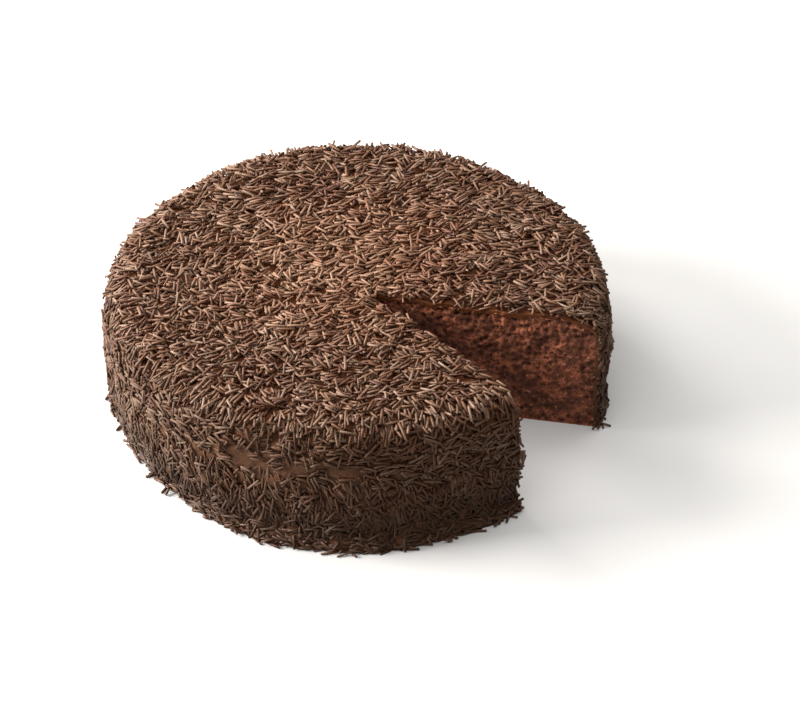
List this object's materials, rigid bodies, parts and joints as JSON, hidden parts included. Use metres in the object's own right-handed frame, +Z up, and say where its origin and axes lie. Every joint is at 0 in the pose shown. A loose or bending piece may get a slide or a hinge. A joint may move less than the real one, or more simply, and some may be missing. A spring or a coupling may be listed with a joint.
{
  "type": "chocolate cake",
  "caption": "Round brigadeiro chocolate cake with a slice cut out, its cocoa sponge under a coat of brigadeiro icing covered in chocolate sprinkles.",
  "frame": {"origin": "middle of the cake's bounding box, on the surface it stands on", "axes": "+Z up out of the top; the missing slice opens towards +X and -Y"},
  "size_m": [0.2416, 0.2456, 0.0664],
  "materials": {
    "cocoa_sponge": "open, moist reddish-brown cocoa crumb",
    "brigadeiro_coat": "dark brown brigadeiro icing under satin chocolate sprinkles"
  },
  "bodies": {
    "root": {"sponge": "cocoa_sponge", "icing_coat": "brigadeiro_coat"}
  },
  "joints": []
}
